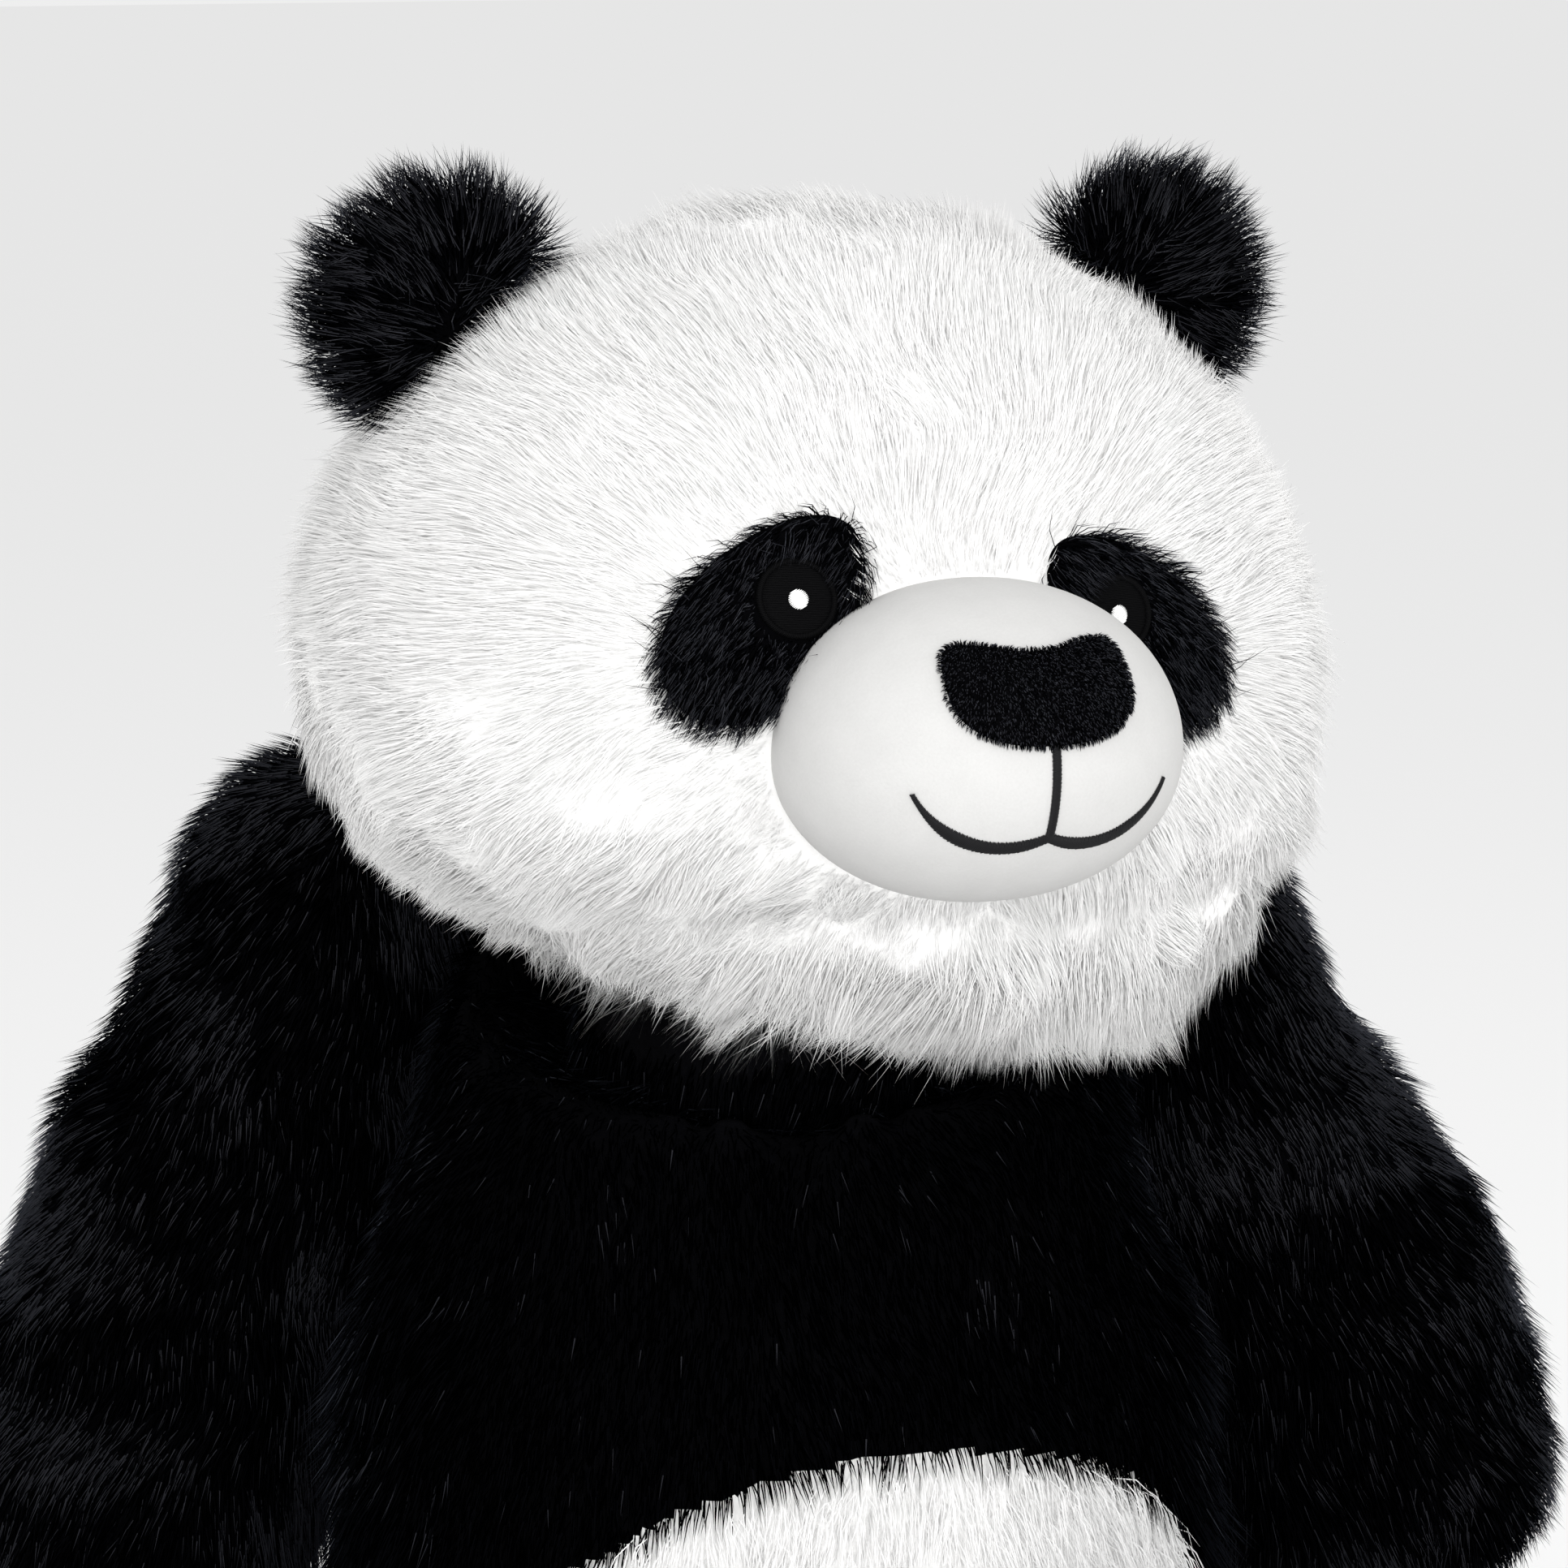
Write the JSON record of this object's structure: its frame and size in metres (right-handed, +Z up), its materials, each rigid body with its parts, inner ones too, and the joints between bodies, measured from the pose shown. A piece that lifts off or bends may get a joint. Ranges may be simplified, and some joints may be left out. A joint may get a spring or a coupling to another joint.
{
  "type": "plush panda",
  "caption": "Large seated plush panda with a turning, nodding head, folding ears, swinging arms and lifting legs.",
  "frame": {"origin": "on the floor, at the middle of the toy's footprint", "axes": "+Z up, the face looks along -Y, the panda's left side is +X"},
  "size_m": [0.4498, 0.4051, 0.5652],
  "materials": {
    "white_long_pile": "long soft white pile fabric",
    "black_long_pile": "long soft black pile fabric",
    "black_medium_pile": "medium black pile fabric",
    "white_velboa": "short smooth white nap",
    "black_minky": "short ribbed black pile",
    "black_thread": "satin embroidery thread",
    "white_thread": "satin embroidery thread",
    "fibre_fill": "loose polyester fibre",
    "label_tape": "plain woven satin tape"
  },
  "bodies": {
    "torso": {"chest_cover": "black_long_pile", "back_yoke_cover": "black_long_pile", "belly_cover": "white_long_pile", "rump_cover": "white_long_pile", "base_cover": "white_long_pile", "torso_stuffing": "fibre_fill", "closing_stitches": "white_thread", "sewn_in_label": "label_tape"},
    "neck": {"neck_cover": "black_long_pile", "neck_stuffing": "fibre_fill"},
    "head": {"face_cover": "white_long_pile", "chin_cover": "white_long_pile", "head_back_cover": "white_long_pile", "head_stuffing": "fibre_fill", "muzzle_cover": "white_velboa", "muzzle_stuffing": "fibre_fill", "nose_patch": "black_minky", "mouth_embroidery": "black_thread", "eye_patch_left": "black_medium_pile", "eye_patch_right": "black_medium_pile", "eye_iris_left": "black_thread", "eye_iris_right": "black_thread", "eye_glint_left": "white_thread", "eye_glint_right": "white_thread"},
    "tail": {"tail_cover": "white_long_pile", "tail_stuffing": "fibre_fill"},
    "ear_left": {"ear_front_left": "black_long_pile", "ear_back_left": "black_long_pile", "ear_stuffing_left": "fibre_fill"},
    "arm_left": {"arm_inner_cover_left": "black_long_pile", "arm_outer_cover_left": "black_long_pile", "arm_stuffing_left": "fibre_fill"},
    "leg_left": {"leg_inner_cover_left": "black_long_pile", "leg_outer_cover_left": "black_long_pile", "foot_sole_left": "black_minky", "leg_stuffing_left": "fibre_fill"},
    "ear_right": {"ear_front_right": "black_long_pile", "ear_back_right": "black_long_pile", "ear_stuffing_right": "fibre_fill"},
    "arm_right": {"arm_inner_cover_right": "black_long_pile", "arm_outer_cover_right": "black_long_pile", "arm_stuffing_right": "fibre_fill"},
    "leg_right": {"leg_inner_cover_right": "black_long_pile", "leg_outer_cover_right": "black_long_pile", "foot_sole_right": "black_minky", "leg_stuffing_right": "fibre_fill"}
  },
  "joints": [
    {"name": "neck_turn", "type": "hinge", "parent": "torso", "child": "neck", "pos_m": [0, 0.00464, 0.33], "axis": [0, 0, 1], "range_deg": [-28, 1], "stiffness_Nm_per_rad": 9},
    {"name": "head_nod", "type": "hinge", "parent": "neck", "child": "head", "pos_m": [0, 0.00464, 0.33], "axis": [0.9613, 0.2756, 0], "range_deg": [-8, 8], "stiffness_Nm_per_rad": 12},
    {"name": "tail_wag", "type": "hinge", "parent": "torso", "child": "tail", "pos_m": [0, 0.16964, 0.082], "axis": [0, 0, 1], "range_deg": [-15, 15], "stiffness_Nm_per_rad": 0.15},
    {"name": "ear_fold_left", "type": "hinge", "parent": "head", "child": "ear_left", "pos_m": [0.09339, 0.01061, 0.52577], "axis": [0.6494, 0.1862, -0.7373], "range_deg": [-25, 17], "stiffness_Nm_per_rad": 0.12},
    {"name": "arm_swing_left", "type": "hinge", "parent": "torso", "child": "arm_left", "pos_m": [0.116, 0.08664, 0.348], "axis": [-1, 0, 0], "range_deg": [-20, 60], "stiffness_Nm_per_rad": 0.6},
    {"name": "leg_lift_left", "type": "hinge", "parent": "torso", "child": "leg_left", "pos_m": [0.09235, -0.07556, 0.057], "axis": [-0.788, -0.6157, 0], "range_deg": [0, 22]},
    {"name": "ear_fold_right", "type": "hinge", "parent": "head", "child": "ear_right", "pos_m": [-0.08237, -0.03978, 0.52577], "axis": [-0.6494, -0.1862, -0.7373], "range_deg": [-17, 25], "stiffness_Nm_per_rad": 0.12},
    {"name": "arm_swing_right", "type": "hinge", "parent": "torso", "child": "arm_right", "pos_m": [-0.116, 0.08664, 0.348], "axis": [-1, 0, 0], "range_deg": [-20, 60], "stiffness_Nm_per_rad": 0.6},
    {"name": "leg_lift_right", "type": "hinge", "parent": "torso", "child": "leg_right", "pos_m": [-0.09235, -0.07556, 0.057], "axis": [-0.788, 0.6157, 0], "range_deg": [0, 22]}
  ]
}
